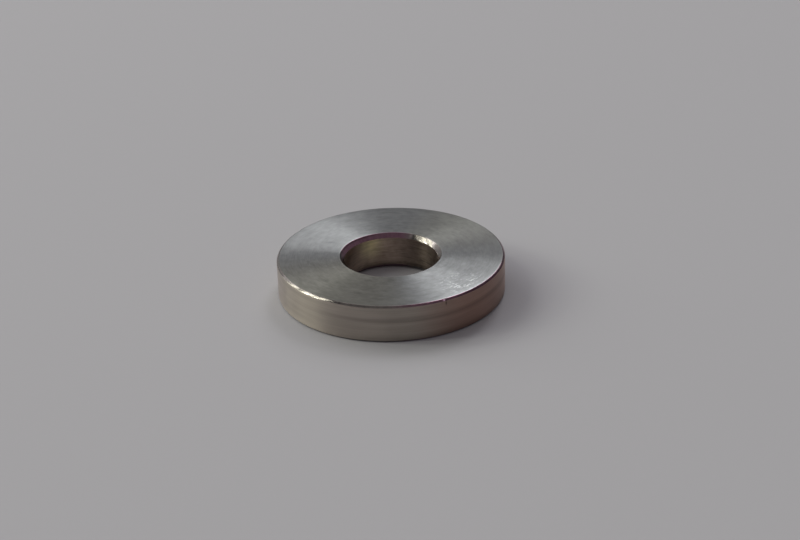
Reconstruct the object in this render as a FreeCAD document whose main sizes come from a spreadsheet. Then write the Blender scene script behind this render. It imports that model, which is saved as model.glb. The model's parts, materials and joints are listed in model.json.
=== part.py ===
"""Turned washer: a thick flat ring, faced on both ends, with broken edges at the rim and the hole.

Millimetres. The ring stands on its lower face: +Z runs up its axis, and the origin is the centre of
that face.
"""
import FreeCAD, Part
import math
import os
import Sketcher

# Driving dimensions: name, value, what it is
SIZES = [
    ("outer_diameter", 25.0, "across the turned rim"),
    ("bore_diameter", 10.2, "across the hole, for a bolt of 10"),
    ("thickness", 4.2, "from one faced end to the other"),
    ("rim_chamfer", 0.2, "leg of the 45 degree edge break at the rim, on both ends"),
    ("bore_chamfer", 0.45, "leg of the 45 degree countersink at the hole, on both ends"),
    ("nick_width", 0.18, "of the small knock in the upper rim, along the rim"),
    ("nick_depth", 0.1, "how far the knock reaches in from the rim"),
    ("nick_height", 0.5, "how far the knock reaches down from the upper end"),
    ("nick_bearing", 297.1, "degrees round the axis, from +X towards +Y"),
]

doc = FreeCAD.newDocument("Washer")


def make_sheet():
    """The spreadsheet that every size is bound to."""
    sheet = doc.addObject("Spreadsheet::Sheet", "Sizes")
    for row, (name, value, meaning) in enumerate(SIZES, start=1):
        sheet.set(f"A{row}", name)
        sheet.set(f"B{row}", str(value))
        sheet.set(f"C{row}", meaning)
        sheet.setAlias(f"B{row}", name)
    doc.recompute()
    return sheet


def origin_feature(body, role):
    """The body's own origin plane or axis that has this role."""
    for feature in body.Origin.OriginFeatures:
        if feature.Role == role:
            return feature
    raise RuntimeError(f"{body.Label} has no {role}")


def add_sketch(body, name, role):
    """An empty sketch on one of the body's origin planes."""
    sketch = body.newObject("Sketcher::SketchObject", name)
    sketch.AttachmentSupport = [(origin_feature(body, role), "")]
    sketch.MapMode = "FlatFace"
    doc.recompute()
    return sketch


def add_size(sketch, name, constraint, formula):
    """A driving constraint with a name, bound to a formula of the sheet's sizes."""
    index = sketch.addConstraint(constraint)
    sketch.renameConstraint(index, name)
    sketch.setExpression(f"Constraints.{name}", formula)


def closed_outline(sketch, corners):
    """Straight lines through the corners and back to the first, joined end to end."""
    points = [FreeCAD.Vector(x, y, 0) for x, y in corners]
    lines = [
        sketch.addGeometry(Part.LineSegment(start, end), False)
        for start, end in zip(points, points[1:] + points[:1])
    ]
    for line, following in zip(lines, lines[1:] + lines[:1]):
        sketch.addConstraint(Sketcher.Constraint("Coincident", line, 2, following, 1))
    return lines


def turn_ring(body, sheet):
    """The plain ring: its half section, drawn beside the axis and revolved about it."""
    bore_radius = sheet.bore_diameter / 2
    outer_radius = sheet.outer_diameter / 2
    sketch = add_sketch(body, "HalfSection", "XZ_Plane")
    base, rim, top, bore = closed_outline(
        sketch,
        [
            (bore_radius, 0),
            (outer_radius, 0),
            (outer_radius, sheet.thickness),
            (bore_radius, sheet.thickness),
        ],
    )
    for line in (base, top):
        sketch.addConstraint(Sketcher.Constraint("Horizontal", line))
    for line in (rim, bore):
        sketch.addConstraint(Sketcher.Constraint("Vertical", line))
    sketch.addConstraint(Sketcher.Constraint("PointOnObject", base, 1, -1))
    add_size(
        sketch,
        "bore_radius",
        Sketcher.Constraint("DistanceX", -1, 1, base, 1, bore_radius),
        "Sizes.bore_diameter / 2",
    )
    add_size(
        sketch,
        "outer_radius",
        Sketcher.Constraint("DistanceX", -1, 1, base, 2, outer_radius),
        "Sizes.outer_diameter / 2",
    )
    add_size(
        sketch,
        "thickness",
        Sketcher.Constraint("DistanceY", rim, 1, rim, 2, sheet.thickness),
        "Sizes.thickness",
    )
    ring = body.newObject("PartDesign::Revolution", "Ring")
    ring.Profile = sketch
    ring.ReferenceAxis = (sketch, ["V_Axis"])
    ring.Angle = 360
    doc.recompute()
    return ring


def circular_edges(feature, radius):
    """Names of the feature's circular edges of this radius."""
    names = []
    for number, edge in enumerate(feature.Shape.Edges, start=1):
        if isinstance(edge.Curve, Part.Circle) and math.isclose(edge.Curve.Radius, radius, abs_tol=1e-6):
            names.append(f"Edge{number}")
    return names


def break_edges(body, name, base, radius, size_name):
    """A 45 degree chamfer along the base feature's circular edges of this radius, on both ends."""
    chamfer = body.newObject("PartDesign::Chamfer", name)
    chamfer.Base = (base, circular_edges(base, radius))
    chamfer.ChamferType = "Equal distance"
    chamfer.setExpression("Size", f"Sizes.{size_name}")
    doc.recompute()
    return chamfer


def knock_rim(body, sheet):
    """The small knock in the upper rim: a V cut inwards and down from the upper end."""
    outer_radius = sheet.outer_diameter / 2
    apex_radius = outer_radius - sheet.nick_depth
    mouth_radius = outer_radius + sheet.nick_depth
    sketch = add_sketch(body, "NickOutline", "XY_Plane")
    sketch.setExpression(".AttachmentOffset.Base.z", "Sizes.thickness")
    sketch.setExpression(".AttachmentOffset.Rotation.Angle", "Sizes.nick_bearing")
    left, mouth, right = closed_outline(
        sketch,
        [
            (apex_radius, 0),
            (mouth_radius, sheet.nick_width),
            (mouth_radius, -sheet.nick_width),
        ],
    )
    sketch.addConstraint(Sketcher.Constraint("PointOnObject", left, 1, -1))
    sketch.addConstraint(Sketcher.Constraint("Symmetric", mouth, 1, mouth, 2, -1))
    add_size(
        sketch,
        "apex_radius",
        Sketcher.Constraint("DistanceX", -1, 1, left, 1, apex_radius),
        "Sizes.outer_diameter / 2 - Sizes.nick_depth",
    )
    add_size(
        sketch,
        "mouth_radius",
        Sketcher.Constraint("DistanceX", -1, 1, mouth, 1, mouth_radius),
        "Sizes.outer_diameter / 2 + Sizes.nick_depth",
    )
    add_size(
        sketch,
        "mouth_width",
        Sketcher.Constraint("DistanceY", mouth, 2, mouth, 1, 2 * sheet.nick_width),
        "2 * Sizes.nick_width",
    )
    nick = body.newObject("PartDesign::Pocket", "Nick")
    nick.Profile = sketch
    nick.setExpression("Length", "Sizes.nick_height")
    doc.recompute()
    return nick


def make_washer(sheet):
    """The washer: ring turned, edges broken, then the knock it picked up in use."""
    body = doc.addObject("PartDesign::Body", "Washer")
    body.Label = "washer"
    ring = turn_ring(body, sheet)
    rim = break_edges(body, "RimChamfers", ring, sheet.outer_diameter / 2, "rim_chamfer")
    bore = break_edges(body, "BoreChamfers", rim, sheet.bore_diameter / 2, "bore_chamfer")
    nick = knock_rim(body, sheet)
    for before, after in ((ring, rim), (rim, bore), (bore, nick)):
        if not after.Shape.Volume < before.Shape.Volume:
            raise RuntimeError(f"{after.Name} took nothing off")
    return body


def check_document(parts):
    """Stop if anything failed to recompute, or a part isn't one whole solid."""
    for item in doc.Objects:
        if "Invalid" in item.State or "Error" in item.State:
            raise RuntimeError(f"{item.Name} did not recompute: {item.State}")
    for part in parts:
        shape = part.Shape
        if shape.isNull() or not shape.isValid() or len(shape.Solids) != 1:
            raise RuntimeError(f"{part.Label} is not one valid solid")


def main():
    sheet = make_sheet()
    parts = [make_washer(sheet)]
    doc.recompute()
    check_document(parts)
    os.makedirs("parts", exist_ok=True)
    for part in parts:
        part.Shape.exportStep(f"parts/{part.Label}.step")
        box = part.Shape.BoundBox
        print(f"{part.Label}: {part.Shape.Volume:.2f} mm3 of metal")
        print(f"{box.XLength:.3f} x {box.YLength:.3f} x {box.ZLength:.3f} mm")


main()
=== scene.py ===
"""Turned stainless washer on a pale table, in soft studio light."""
import json
from math import atan2, cos, pi, radians, sin, tan

import bmesh
import bpy
from bpy.props import FloatProperty, FloatVectorProperty, IntProperty, PointerProperty
from bpy.types import Operator, Panel, PropertyGroup
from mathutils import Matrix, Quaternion, Vector


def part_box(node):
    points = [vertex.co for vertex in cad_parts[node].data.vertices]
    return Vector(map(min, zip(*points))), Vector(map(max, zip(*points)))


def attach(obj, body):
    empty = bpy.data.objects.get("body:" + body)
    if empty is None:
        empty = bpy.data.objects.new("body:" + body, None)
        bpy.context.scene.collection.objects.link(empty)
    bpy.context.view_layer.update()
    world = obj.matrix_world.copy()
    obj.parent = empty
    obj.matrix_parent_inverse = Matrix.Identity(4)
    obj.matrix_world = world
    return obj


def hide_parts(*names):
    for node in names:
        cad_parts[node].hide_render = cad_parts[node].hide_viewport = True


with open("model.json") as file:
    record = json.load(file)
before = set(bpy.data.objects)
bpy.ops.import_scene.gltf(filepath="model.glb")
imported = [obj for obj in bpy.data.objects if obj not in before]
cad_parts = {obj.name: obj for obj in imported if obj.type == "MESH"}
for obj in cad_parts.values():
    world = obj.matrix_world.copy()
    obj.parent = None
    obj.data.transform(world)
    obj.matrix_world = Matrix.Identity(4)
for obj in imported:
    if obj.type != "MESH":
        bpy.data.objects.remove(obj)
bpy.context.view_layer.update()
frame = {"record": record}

bl_info = {
    "name": "Turned washer",
    "version": (1, 0, 0),
    "blender": (4, 5, 0),
    "location": "3D View > Sidebar > Washer",
    "description": "Turns a thick plain washer, gives it its machined finish and lights it",
    "category": "Object",
}

MM = 0.001
NODE = "washer"
BODY = "root"
LOW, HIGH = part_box(NODE)
OUTER_RADIUS = (HIGH.x - LOW.x) / 2
THICKNESS = HIGH.z - LOW.z
BORE = next(mount for mount in frame["record"]["mounts"] if mount["name"] == "bore")["dims"]
BORE_RADIUS = BORE["r_mm"] * MM
BORE_CHAMFER = (THICKNESS - BORE["length_mm"] * MM) / 2
RIM_CHAMFER = 0.2 * MM
MEAN_RADIUS = (OUTER_RADIUS + BORE_RADIUS) / 2

# The same ring in millimetres, for its finish: its top, the middle of the face and where the face stops
TOP = THICKNESS / MM
MID_FACE = MEAN_RADIUS / MM
RIM_EDGE = (OUTER_RADIUS - RIM_CHAMFER) / MM
BORE_EDGE = (BORE_RADIUS + BORE_CHAMFER) / MM

# Points nearer than the first are one, and an edge that rises less than the second is level
MERGE = 1e-7
LEVEL = 0.01 * MM

# Spacing of the points across the faced ends, and on the walls and chamfers
FACE_STEP = 0.6 * MM
WALL_STEP = 0.3 * MM

# Order of the material slots on the ring
FACED, TURNED, BORED, BROKEN = range(4)

# Settings of a Map Range node that goes from 0 to 1 with soft ends
SOFT = {"interpolation_type": "SMOOTHSTEP"}

# The lamps' distance from the washer, and the faint yellow green of the light from the left
LAMP_DISTANCE = 2000 * MM
LEFT_TINT = "#FBFFF0"


def linear(code):
    """A colour written as sRGB hex, as the linear values and the alpha that a shader takes."""
    shares = [int(code[place : place + 2], 16) / 255 for place in (1, 3, 5)]
    return tuple(s / 12.92 if s <= 0.04045 else ((s + 0.055) / 1.055) ** 2.4 for s in shares) + (1,)


def distance(name, description, millimetres):
    """A length setting, in metres as the scene is."""
    return FloatProperty(
        name=name,
        description=description,
        default=millimetres * MM,
        unit="LENGTH",
        subtype="DISTANCE",
        precision=5,
    )


def angle(name, description, degrees):
    """An angle setting, written here in degrees."""
    return FloatProperty(
        name=name, description=description, default=radians(degrees), unit="ROTATION", subtype="ANGLE"
    )


def colour(name, description, code):
    """A colour setting, written here as sRGB hex."""
    return FloatVectorProperty(
        name=name, description=description, default=linear(code), size=4, min=0, max=1, subtype="COLOR"
    )


class WasherShape(PropertyGroup):
    """Sizes of the detail that the frame doesn't hold"""

    face_rounding: distance("Face rounding", "Length of the rounding from a faced end to its chamfer", 0.05)
    wall_rounding: distance("Wall rounding", "Length of the rounding from a chamfer to its wall", 0.03)
    columns: IntProperty(name="Columns", description="Steps round the axis", default=540, min=90)
    nick_bearing: angle("Nick bearing", "Place of the knock in the upper rim, from +X towards +Y", 297.1)
    nick_width: distance("Nick width", "Width of the knock along the rim", 0.18)
    nick_depth: distance("Nick depth", "How far the knock goes in", 0.08)
    nick_height: distance("Nick height", "How far the knock runs down from the top", 0.5)
    lip_height: distance("Lip height", "Metal pushed up beside the knock", 0.1)


class WasherFinish(PropertyGroup):
    """Colours of the metal"""

    faced_colour: colour("Faced ends", "Colour of the faced ends", "#8F9192")
    # A warmer colour that the faced ends take at the front left and the back right
    warm_faced_colour: colour("Filmed ends", "Colour of the faced ends under a film of oil", "#92918A")
    turned_colour: colour("Turned rim", "Colour of the turned rim", "#A89F96")
    # Painted reflection: the darker brown of the rim at the front right, where it reflects the shaded table
    shaded_reflection_colour: colour("Stained rim", "Colour of the rim under the oil stain", "#9B8075")
    bored_colour: colour("Bored hole", "Colour of the wall of the hole", "#A59588")
    rubbed_colour: colour("Rubbed hole", "Colour of the wall of the hole where it is rubbed", "#A9A182")
    broken_colour: colour("Broken edges", "Colour of the chamfers", "#88827E")
    # Painted shade: the purple tint on the dark sides of the chamfers
    purple_shade_colour: colour("Tarnished edges", "Colour of the chamfers under tarnish", "#8A6877")


class WasherStage(PropertyGroup):
    """The table, the room and the camera"""

    floor_colour: colour("Floor", "Colour of the table", "#BDBBC0")
    floor_radius: distance("Floor radius", "Half the width of the table", 1500)
    room_colour: colour("Room", "Colour of the plain light from all round", "#828081")
    lens: FloatProperty(
        name="Lens", description="Focal length in millimetres", default=76.45, subtype="DISTANCE_CAMERA"
    )
    camera_distance: distance("Camera distance", "From the point it looks at", 191.96)
    camera_elevation: angle("Camera elevation", "Height above the horizon", 26.39)
    camera_roll: angle("Camera roll", "Turn of the camera about its view", -1.67)
    aim_x: distance("Aim X", "Point on the table that the camera looks at", 0.965)
    aim_y: distance("Aim Y", "Point on the table that the camera looks at", 4.456)


def half_section(bm, shape):
    """The ring's half section as a closed wire in the XZ plane, edges broken and then rounded."""
    places = [(BORE_RADIUS, 0), (OUTER_RADIUS, 0), (OUTER_RADIUS, THICKNESS), (BORE_RADIUS, THICKNESS)]
    corners = [bm.verts.new((x, 0, z)) for x, z in places]
    for start, end in zip(corners, corners[1:] + corners[:1]):
        bm.edges.new((start, end))
    bevel = {"affect": "VERTICES", "offset_type": "OFFSET", "profile": 0.5, "material": -1}
    rim = [vert for vert in bm.verts if vert.co.x > MEAN_RADIUS]
    bmesh.ops.bevel(bm, geom=rim, offset=RIM_CHAMFER, segments=1, **bevel)
    bore = [vert for vert in bm.verts if vert.co.x < MEAN_RADIUS]
    bmesh.ops.bevel(bm, geom=bore, offset=BORE_CHAMFER, segments=1, **bevel)
    on_face = [vert for vert in bm.verts if min(vert.co.z, THICKNESS - vert.co.z) < LEVEL]
    on_wall = [vert for vert in bm.verts if min(vert.co.z, THICKNESS - vert.co.z) >= LEVEL]
    bmesh.ops.bevel(bm, geom=on_face, offset=shape.face_rounding, segments=4, **bevel)
    bmesh.ops.bevel(bm, geom=on_wall, offset=shape.wall_rounding, segments=2, **bevel)


def divide_section(bm, shape):
    """Points along the section's straight runs, close enough to carry the knock and the finish."""
    for edge in bm.edges[:]:
        length = edge.calc_length()
        if length > 2 * shape.face_rounding:
            level = abs((edge.verts[0].co - edge.verts[1].co).z) < LEVEL
            step = FACE_STEP if level else WALL_STEP
            bmesh.ops.subdivide_edges(bm, edges=[edge], cuts=max(2, round(length / step)))


def mark_surfaces(bm):
    """Gives each face the slot of the surface it was machined in; the roundings go with the chamfers."""
    # How far the middle of a face may lie off the end, the rim or the wall of the hole that it is part of
    off_end = 0.001 * MM
    off_rim = 0.02 * MM
    off_bore = 0.009 * MM
    for face in bm.faces:
        centre = face.calc_center_median()
        radius = centre.xy.length
        if min(centre.z, THICKNESS - centre.z) < off_end:
            face.material_index = FACED
        elif radius > OUTER_RADIUS - off_rim:
            face.material_index = TURNED
        elif radius < BORE_RADIUS + off_bore:
            face.material_index = BORED
        else:
            face.material_index = BROKEN
        face.smooth = True


def along_rim(vert, bearing):
    """Distance round the rim from a bearing to a vertex."""
    turn = (atan2(vert.co.y, vert.co.x) - bearing + pi) % (2 * pi) - pi
    return turn * OUTER_RADIUS


def runs_round(edge):
    """Whether an edge follows the ring round, at one height and one radius."""
    start, end = (vert.co for vert in edge.verts)
    return abs(start.z - end.z) < MERGE and abs(start.xy.length - end.xy.length) < MERGE


def knock_rim(bm, shape):
    """The small knock in the upper rim: a groove, with the pushed-up lip on its left.

    The groove's left side is steep, and its right side runs out over twice the width.
    """
    reach = 4 * shape.nick_width
    near = {vert for vert in bm.verts if abs(along_rim(vert, shape.nick_bearing)) < reach}
    crossing = [edge for edge in bm.edges if near.issuperset(edge.verts) and runs_round(edge)]
    bmesh.ops.subdivide_edges(bm, edges=crossing, cuts=5, use_grid_fill=True)
    bm.normal_update()
    half = shape.nick_width / 2
    for vert in bm.verts:
        across = along_rim(vert, shape.nick_bearing)
        below = THICKNESS - vert.co.z
        on_rim = vert.co.xy.length >= OUTER_RADIUS - 2 * RIM_CHAMFER
        if not on_rim or abs(across) > reach or below > shape.nick_height:
            continue
        side = half if across < 0 else 2 * half
        groove = max(0, 1 - abs(across) / side) * min(1, (shape.nick_height - below) / half)
        lip = max(0, 1 - abs(across + 2 * half) / (1.2 * half)) * max(0, 1 - below / (1.5 * RIM_CHAMFER))
        rounded = min(1, below / shape.wall_rounding)
        vert.co += vert.normal * (shape.lip_height * lip - shape.nick_depth * groove) * rounded
        vert.co.z = min(vert.co.z, THICKNESS)


def turned_ring(shape):
    """Mesh of the whole washer."""
    bm = bmesh.new()
    half_section(bm, shape)
    divide_section(bm, shape)
    section = bm.verts[:] + bm.edges[:]
    bmesh.ops.spin(
        bm,
        geom=section,
        cent=(0, 0, 0),
        axis=(0, 0, 1),
        dvec=(0, 0, 0),
        angle=2 * pi,
        steps=shape.columns,
        use_merge=True,
        use_normal_flip=False,
        use_duplicate=False,
    )
    bmesh.ops.remove_doubles(bm, verts=bm.verts[:], dist=MERGE)
    bmesh.ops.recalc_face_normals(bm, faces=bm.faces[:])
    mark_surfaces(bm)
    knock_rim(bm, shape)
    mesh = bpy.data.meshes.new("turned_washer")
    bm.to_mesh(mesh)
    bm.free()
    return mesh


class MachinedMetal:
    """Node tree of one machined surface, in millimetres and measured round the washer's axis.

    The feed, which is the radius or the height, runs across the tool marks. A share is a value from 0 to 1
    that says how much of something a place has. A tone is a value with its amount, and makes the colour
    lighter or darker by their product.
    """

    # Step through the noise from one seed to the next
    SEED_STEP = Vector((1, 3.1, 0))

    def __init__(self, name, feed):
        self.material = bpy.data.materials.new(name)
        self.material.use_nodes = True
        self.tree = self.material.node_tree
        self.tree.nodes.clear()
        place = self.add("TexCoord", output="Object")
        self.place = self.add("VectorMath", place, sockets={"Scale": 1 / MM}, operation="SCALE")
        flat = self.add("VectorMath", self.place, (1, 1, 0), operation="MULTIPLY")
        self.radius = self.add("VectorMath", flat, output="Value", operation="LENGTH")
        self.outward = self.add("VectorMath", flat, operation="NORMALIZE")
        self.around = self.add("VectorMath", (0, 0, 1), self.outward, operation="CROSS_PRODUCT")
        self.height = self.add("SeparateXYZ", self.place, output="Z")
        self.feed = {"radius": self.radius, "height": self.height}[feed]

    def add(self, kind, *values, sockets=None, output=0, **settings):
        """Adds a node with its settings, and gives one of its outputs.

        The values go to its first sockets in order and the rest by name, each a plain value or a link.
        """
        node = self.tree.nodes.new(f"ShaderNode{kind}")
        for name, value in settings.items():
            setattr(node, name, value)
        for key, value in {**dict(enumerate(values)), **(sockets or {})}.items():
            if isinstance(value, bpy.types.NodeSocket):
                self.tree.links.new(value, node.inputs[key])
            else:
                node.inputs[key].default_value = value
        return node.outputs[output]

    def marks(self, spacing, length, seed):
        """Noise about zero, as marks this wide across the feed and this long round the axis.

        The seed takes each set of marks from its own part of the noise.
        """
        ring = self.add("VectorMath", self.outward, sockets={"Scale": MID_FACE / length}, operation="SCALE")
        step = self.add("Math", self.feed, spacing, operation="DIVIDE")
        lift = self.add("CombineXYZ", sockets={"Z": step})
        raised = self.add("VectorMath", ring, lift, operation="ADD")
        moved = self.add("VectorMath", raised, self.SEED_STEP * seed, operation="ADD")
        noise = self.add("TexNoise", moved, sockets={"Scale": 1, "Detail": 2, "Roughness": 0.6})
        return self.add("Math", noise, 0.5, operation="SUBTRACT")

    def spot(self, centre, half_size):
        """Share of an oval on the surface: 1 in its middle, fading to 0 at its edge."""
        offset = self.add("VectorMath", self.place, centre, operation="SUBTRACT")
        scaled = self.add("VectorMath", offset, half_size, operation="DIVIDE")
        from_centre = self.add("VectorMath", scaled, output="Value", operation="LENGTH")
        return self.add("MapRange", from_centre, 1, 0, **SOFT)

    def side(self, bearing, full, none):
        """Share of the side that faces this bearing, full up to one angle from it and none past another."""
        towards = (cos(radians(bearing)), sin(radians(bearing)), 0)
        nearness = self.add("VectorMath", self.outward, towards, output="Value", operation="DOT_PRODUCT")
        return self.add("MapRange", nearness, cos(radians(none)), cos(radians(full)), **SOFT)

    def overlap(self, share, *others):
        """Share of what all of these have in common: their product."""
        for other in others:
            share = self.add("Math", share, other, operation="MULTIPLY")
        return share

    def sectors(self, places, *limits):
        """Tones of some sides, each given as bearing, full, none and amount, and kept within the limits."""
        return [
            (self.overlap(self.side(bearing, full, none), *limits), amount)
            for bearing, full, none, amount in places
        ]

    def total(self, amounts):
        """Sum of values, each times its amount."""
        result = 0
        for value, amount in amounts:
            result = self.add("Math", value, amount, result, operation="MULTIPLY_ADD")
        return result

    def coloured(self, clean, second_colour, share, tones):
        """The clean colour, with this share of the second colour over it and shaded by the tones. The
        second colour is a patch of olive in the hole, a warmer tint on the faced ends, and painted
        reflection and painted shade on the rim and the chamfers.
        """
        both = {4: clean[:3], 5: second_colour[:3]}
        blend = self.add("Mix", share, sockets=both, output=1, data_type="VECTOR")
        brightness = self.add("Math", self.total(tones), 1, operation="ADD")
        return self.add("VectorMath", blend, sockets={"Scale": brightness}, operation="SCALE")

    def finish(self, base, height, roughness, anisotropy):
        """Closes the tree: height in millimetres, and the light spread across the tool marks.

        The anisotropy is turned by a quarter, because the tangent runs along the marks.
        """
        sockets = {
            "Base Color": base,
            "Metallic": 1,
            "Roughness": roughness,
            "Anisotropic": anisotropy,
            "Anisotropic Rotation": 0.25,
            "Tangent": self.around,
            "Normal": self.add("Bump", sockets={"Height": height, "Strength": 1, "Distance": MM}),
        }
        shader = self.add("BsdfPrincipled", sockets=sockets)
        surface = self.tree.nodes.new("ShaderNodeOutputMaterial").inputs["Surface"]
        self.tree.links.new(shader, surface)
        return self.material


def near_knock(shape, along, inwards, height):
    """Place near the knock, in millimetres: this far round the rim from it, in from the rim and up."""
    bearing = shape.nick_bearing + along * MM / OUTER_RADIUS
    radius = OUTER_RADIUS / MM - inwards
    return (radius * cos(bearing), radius * sin(bearing), height)


def faced_stainless(finish):
    """Stainless steel faced on a lathe: fine rings that spread the light into fans from the centre.

    The rings are drawn at 0.16 mm, about twice as coarse as real ones, so that a render carries them.
    """
    metal = MachinedMetal("stainless_steel_faced", "radius")
    rings = metal.marks(0.16, 25, seed=1)
    clouds = metal.marks(1.2, 3, seed=2)
    dashes = metal.marks(0.13, 1.4, seed=3)
    mottle = metal.marks(0.5, 0.8, seed=4)
    tones = [(rings, 0.08), (clouds, 0.36), (dashes, 0.42), (mottle, 0.56)]

    # Painted glints: a patch of small lighter specks in the colour at the front right. A short smear on the
    # left
    glints = metal.add("MapRange", metal.marks(0.24, 0.4, seed=5), 0.02, 0.2, **SOFT)
    painted_glints = metal.overlap(glints, metal.spot((7.6, -7.4, TOP), (3.8, 3.4, 1)))
    smear = metal.spot((-6.9, 3.4, TOP), (1.3, 0.35, 1))
    tones += [(painted_glints, 1.35), (smear, -0.16)]

    # Painted highlight and shade: broad fans a little lighter or darker than the lamps make them
    tones += metal.sectors([(148, 8, 30, 0.3), (10, 15, 40, 0.16), (57, 5, 20, 0.1)])
    tones += metal.sectors([(214, 8, 28, -0.18), (343, 8, 22, -0.24), (262, 18, 40, -0.12)])

    # Painted highlights: thin lighter bands along the edges of the face, at the rim only at the front right
    rim_edge_highlight = metal.add("MapRange", metal.radius, RIM_EDGE - 0.15, RIM_EDGE - 0.05, **SOFT)
    bore_edge_highlight = metal.add("MapRange", metal.radius, BORE_EDGE + 0.2, BORE_EDGE + 0.05, **SOFT)
    tones += metal.sectors([(318, 30, 60, 0.7)], rim_edge_highlight) + [(bore_edge_highlight, 0.4)]

    # The colour is warmer at the front left, and half as much at the back right
    film = metal.total(metal.sectors([(232, 20, 55, 1), (40, 10, 40, 0.5)]))
    base = metal.coloured(finish.faced_colour, finish.warm_faced_colour, film, tones)
    height = metal.total([(rings, 0.001), (mottle, 0.002)])
    return metal.finish(base, height, roughness=0.297, anisotropy=0.917)


def turned_stainless(finish, shape):
    """Stainless steel turned along the rim: level streaks, a darker worn line and a painted reflection: a
    darker brown where the rim reflects the shaded table at the front right.

    The streaks are drawn 0.12 to 0.3 mm wide, coarser than real ones, so that a render carries them.
    """
    metal = MachinedMetal("stainless_steel_turned", "height")
    streaks = metal.marks(0.3, 25, seed=1)
    scratches = metal.marks(0.12, 6, seed=2)
    clouds = metal.marks(1.2, 4, seed=3)
    tones = [(streaks, 0.25), (scratches, 0.3), (clouds, 0.3)]

    # The worn line runs at half height round the front and the right
    above = metal.add("MapRange", metal.height, 2.0, 2.45, **SOFT)
    beyond = metal.add("MapRange", metal.height, 2.5, 3.0, **SOFT)
    line = metal.add("Math", above, beyond, operation="SUBTRACT")
    tones += metal.sectors([(300, 40, 78, -0.25)], line)

    # Painted shade and light at the foot: darker at the front right, where it reflects the shadow on the
    # table, and lighter at the front left
    foot_painted_shade = metal.add("MapRange", metal.height, 1, 0.1, **SOFT)
    foot_painted_light = metal.add("MapRange", metal.height, 1.2, 0.1, **SOFT)
    tones += metal.sectors([(295, 40, 75, -0.25)], foot_painted_shade)
    tones += metal.sectors([(213, 28, 50, 0.35)], foot_painted_light)

    # Painted light on two paler sides, and painted shade inside the knock
    tones += metal.sectors([(247, 8, 24, 0.13), (190, 5, 14, 0.18)])
    knock_painted_shade = metal.spot(near_knock(shape, -0.03, 0.01, 3.8), (0.15, 0.15, 0.45))
    tones += [(knock_painted_shade, -0.6)]

    # Painted reflection: a darker brown over the front right, where the rim reflects the shaded table
    stain = metal.side(328, 12, 52)
    base = metal.coloured(finish.turned_colour, finish.shaded_reflection_colour, stain, tones)
    height = metal.total([(streaks, 0.006), (scratches, 0.003)])
    return metal.finish(base, height, roughness=0.381, anisotropy=0.921)


def bored_stainless(finish):
    """Stainless steel bored out: level scratches, dulled by oil but for one rubbed patch.

    The scratches are drawn 0.12 to 0.25 mm wide, coarser than real ones, so that a render carries them.
    """
    metal = MachinedMetal("stainless_steel_bored", "height")
    streaks = metal.marks(0.25, 12, seed=1)
    scratches = metal.marks(0.12, 2, seed=2)
    clouds = metal.marks(1.1, 2, seed=3)
    rubbed = metal.spot((-2.3, 4.5, 3.2), (2.2, 2.2, 2.6))
    tones = [(streaks, 0.6), (scratches, 0.8), (clouds, 0.8), (rubbed, 0.6)]

    # Painted shade darkens the foot of the wall; the wall is also darker at the back right and paler at the
    # back left
    foot = metal.add("MapRange", metal.height, 1.1, 0.45, **SOFT)
    tones += metal.sectors([(38, 20, 45, -0.3), (150, 12, 30, 0.3)]) + [(foot, -0.4)]

    base = metal.coloured(finish.bored_colour, finish.rubbed_colour, rubbed, tones)
    height = metal.total([(streaks, 0.006), (scratches, 0.004)])
    return metal.finish(base, height, roughness=0.3, anisotropy=0.889)


def chamfered_stainless(finish, shape):
    """Stainless steel with the edge broken by a form tool: close to a mirror, crossed by chatter.

    The chatter marks are 0.22 mm apart round the edge, as the tool left them.
    """
    metal = MachinedMetal("stainless_steel_chamfered", "radius")
    chatter = metal.marks(1.5, 0.22, seed=1)
    waves = metal.marks(1.5, 1.2, seed=2)
    tones = [(chatter, 0.9), (waves, 0.4)]

    # Painted highlight on the lip beside the knock, and a painted shade and a painted light spot on the
    # hole's chamfer
    lip = metal.spot(near_knock(shape, -0.22, 0.09, 4.1), (0.17, 0.17, 0.3))
    painted_shade_spot = metal.spot((3.1, 4.3, 4), (0.75, 0.75, 1))
    bright = metal.spot((2.3, 4.8, 4.1), (0.35, 0.35, 0.4))
    tones += [(lip, 6), (painted_shade_spot, -0.6), (bright, 0.8)]

    # Painted highlights and shade in sectors of the chamfers, which break up and trim the streaks of light
    tones += metal.sectors([(333, 15, 45, -0.4), (35, 4, 14, 0.2), (42.5, 1, 4, 0.3)])
    tones += metal.sectors([(207.5, 3, 7, -0.25), (220.5, 1, 3.5, -0.35), (229, 3, 10, 0.4)])
    tones += metal.sectors([(231, 1, 3, -0.3), (242, 1, 6, -0.25)])

    # The same painted highlights and shade on the hole's chamfer alone, with a painted dark line along its
    # upper edge on the left
    near_hole = metal.add("MapRange", metal.radius, MID_FACE, BORE_EDGE, **SOFT)
    upper_edge = metal.add("MapRange", metal.radius, BORE_EDGE - 0.2, BORE_EDGE - 0.05, **SOFT)
    tones += metal.sectors([(182, 6, 18, -0.3), (60, 1, 4, -0.4)], near_hole)
    tones += metal.sectors([(33, 1, 4, -0.18), (28, 1, 3.5, 0.25)], near_hole)
    tones += metal.sectors([(165, 45, 65, -0.5)], near_hole, upper_edge)

    # Painted shade: a purple tint over the dark sides of the chamfers, at the back left of the hole and at
    # the front right of the rim
    near_rim = metal.add("MapRange", metal.radius, MID_FACE, RIM_EDGE, **SOFT)
    places = metal.sectors([(125, 45, 65, 1)], near_hole) + metal.sectors([(325, 40, 60, 1)], near_rim)
    base = metal.coloured(finish.broken_colour, finish.purple_shade_colour, metal.total(places), tones)
    height = metal.total([(chatter, 0.0006), (waves, 0.002)])
    return metal.finish(base, height, roughness=0.14, anisotropy=0.97)


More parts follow.
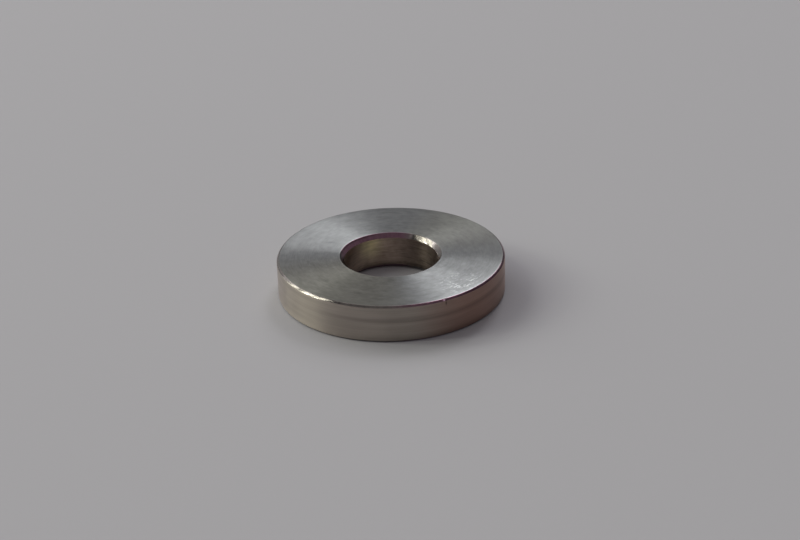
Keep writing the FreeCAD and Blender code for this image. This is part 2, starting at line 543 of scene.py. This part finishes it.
def painted_board(stage):
    """Matt painted board: evenly grey, with no gloss."""
    material = bpy.data.materials.new("board_painted_matt")
    material.use_nodes = True
    shader = material.node_tree.nodes["Principled BSDF"]
    shader.inputs["Base Color"].default_value = stage.floor_colour
    shader.inputs["Roughness"].default_value = 1
    shader.inputs["Specular IOR Level"].default_value = 0
    return material


class WASHER_OT_turn_ring(Operator):
    """Turn the washer from its half section and give each surface its finish"""

    bl_idname = "washer.turn_ring"
    bl_label = "Turn the washer"

    def execute(self, context):
        shape = context.scene.washer_shape
        finish = context.scene.washer_finish
        ring = bpy.data.objects.new("turned_washer", turned_ring(shape))
        context.scene.collection.objects.link(ring)
        ring.data.materials.append(faced_stainless(finish))
        ring.data.materials.append(turned_stainless(finish, shape))
        ring.data.materials.append(bored_stainless(finish))
        ring.data.materials.append(chamfered_stainless(finish, shape))
        weighted = ring.modifiers.new("flat_faces", "WEIGHTED_NORMAL")
        weighted.mode = "FACE_AREA"
        weighted.keep_sharp = False
        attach(ring, BODY)
        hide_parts(NODE)
        return {"FINISHED"}


def lay_floor(scene, stage):
    """The table: one large flat board that the washer stands on."""
    bm = bmesh.new()
    bmesh.ops.create_grid(bm, x_segments=1, y_segments=1, size=stage.floor_radius)
    mesh = bpy.data.meshes.new("floor")
    bm.to_mesh(mesh)
    bm.free()
    mesh.materials.append(painted_board(stage))
    floor = bpy.data.objects.new("floor", mesh)
    scene.collection.objects.link(floor)


def bearing_vector(azimuth, elevation):
    """Unit vector towards a place: azimuth 0 is behind the washer and 90 on its right, in degrees."""
    level = Vector((sin(radians(azimuth)), cos(radians(azimuth)), 0))
    return level * cos(radians(elevation)) + Vector((0, 0, sin(radians(elevation))))


def hang_lamp(scene, name, azimuths, elevations, radiance, tint="#FFFFFF"):
    """A flat soft lamp that faces the washer and fills these angles, seen from there, in degrees.

    The power of a flat lamp is its radiance times pi times its area.
    """
    elevation = sum(elevations) / 2
    spread = radians(azimuths[1] - azimuths[0])
    rise = radians(elevations[1] - elevations[0])
    width = 2 * LAMP_DISTANCE * tan(spread / 2) * cos(radians(elevation))
    height = 2 * LAMP_DISTANCE * tan(rise / 2)
    data = bpy.data.lights.new(name, "AREA")
    data.shape = "RECTANGLE"
    data.size = width
    data.size_y = height
    data.energy = radiance * pi * width * height
    data.color = linear(tint)[:3]
    lamp = bpy.data.objects.new(name, data)
    towards = bearing_vector(sum(azimuths) / 2, elevation)
    lamp.location = towards * LAMP_DISTANCE
    lamp.rotation_mode = "QUATERNION"
    lamp.rotation_quaternion = towards.to_track_quat("Z", "Y")
    scene.collection.objects.link(lamp)


def light_washer(scene, stage):
    """Three bright upright panels on the left, dimmer ones behind, and plain light all round."""
    far_left = (-69, -60.5)
    middle_left = (-86, -75.5)
    near_left = (-96.7, -92)
    left_edge = (-59.5, -50)
    back_left = (-49.5, -22)
    back_right = (8, 26)
    hang_lamp(scene, "far_left", far_left, (20, 44), 4.2, LEFT_TINT)
    hang_lamp(scene, "far_left_foot", far_left, (6, 20), 4.7, LEFT_TINT)
    hang_lamp(scene, "middle_left", middle_left, (20, 32), 11.1, LEFT_TINT)
    hang_lamp(scene, "middle_left_head", middle_left, (32, 56), 4.4, LEFT_TINT)
    hang_lamp(scene, "middle_left_foot", middle_left, (6, 20), 0.9, LEFT_TINT)
    hang_lamp(scene, "near_left", near_left, (21, 38), 13.5, LEFT_TINT)
    hang_lamp(scene, "near_left_head", near_left, (38, 56), 6.6, LEFT_TINT)
    hang_lamp(scene, "left_edge", left_edge, (28, 50), 2.5)
    hang_lamp(scene, "left_edge_foot", left_edge, (6, 28), 1.15)
    hang_lamp(scene, "back_left_head", back_left, (30, 50), 2.45)
    hang_lamp(scene, "back_left", back_left, (15, 30), 0.5)
    hang_lamp(scene, "back_left_foot", back_left, (1, 15), 0.22)
    hang_lamp(scene, "back", (-22, 7), (19, 55), 0.18)
    hang_lamp(scene, "overhead", (-40, 40), (57, 72), 0.7)
    hang_lamp(scene, "back_right_foot", back_right, (28, 41), 3.5)
    hang_lamp(scene, "back_right_head", back_right, (42, 56), 6.3)
    world = bpy.data.worlds.new("studio")
    world.use_nodes = True
    world.node_tree.nodes["Background"].inputs["Color"].default_value = stage.room_colour
    scene.world = world


def set_camera(scene, stage):
    """The camera, in front of the washer and looking down at a point on the table."""
    back = Vector((0, -cos(stage.camera_elevation), sin(stage.camera_elevation)))
    data = bpy.data.cameras.new("camera")
    data.lens = stage.lens
    data.clip_start = 10 * MM
    camera = bpy.data.objects.new("camera", data)
    camera.location = Vector((stage.aim_x, stage.aim_y, 0)) + back * stage.camera_distance
    camera.rotation_mode = "QUATERNION"
    roll = Quaternion((0, 0, 1), stage.camera_roll)
    camera.rotation_quaternion = (-back).to_track_quat("-Z", "Y") @ roll
    scene.collection.objects.link(camera)
    scene.camera = camera


class WASHER_OT_set_stage(Operator):
    """Set the washer on a pale table, with soft lamps and the camera"""

    bl_idname = "washer.set_stage"
    bl_label = "Set the stage"

    def execute(self, context):
        scene = context.scene
        stage = scene.washer_stage
        lay_floor(scene, stage)
        light_washer(scene, stage)
        set_camera(scene, stage)
        scene.view_settings.view_transform = "Standard"
        return {"FINISHED"}


class WASHER_PT_panel(Panel):
    """Settings and steps of the washer"""

    bl_label = "Washer"
    bl_space_type = "VIEW_3D"
    bl_region_type = "UI"
    bl_category = "Washer"

    def draw(self, context):
        for group in (context.scene.washer_shape, context.scene.washer_finish, context.scene.washer_stage):
            column = self.layout.column()
            for name in group.__annotations__:
                column.prop(group, name)
        self.layout.operator(WASHER_OT_turn_ring.bl_idname)
        self.layout.operator(WASHER_OT_set_stage.bl_idname)


CLASSES = (
    WasherShape,
    WasherFinish,
    WasherStage,
    WASHER_OT_turn_ring,
    WASHER_OT_set_stage,
    WASHER_PT_panel,
)


def register():
    for cls in CLASSES:
        bpy.utils.register_class(cls)
    bpy.types.Scene.washer_shape = PointerProperty(type=WasherShape)
    bpy.types.Scene.washer_finish = PointerProperty(type=WasherFinish)
    bpy.types.Scene.washer_stage = PointerProperty(type=WasherStage)


def unregister():
    del bpy.types.Scene.washer_stage
    del bpy.types.Scene.washer_finish
    del bpy.types.Scene.washer_shape
    for cls in reversed(CLASSES):
        bpy.utils.unregister_class(cls)


def main():
    register()
    bpy.ops.washer.turn_ring()
    bpy.ops.washer.set_stage()


if __name__ == "__main__":
    main()
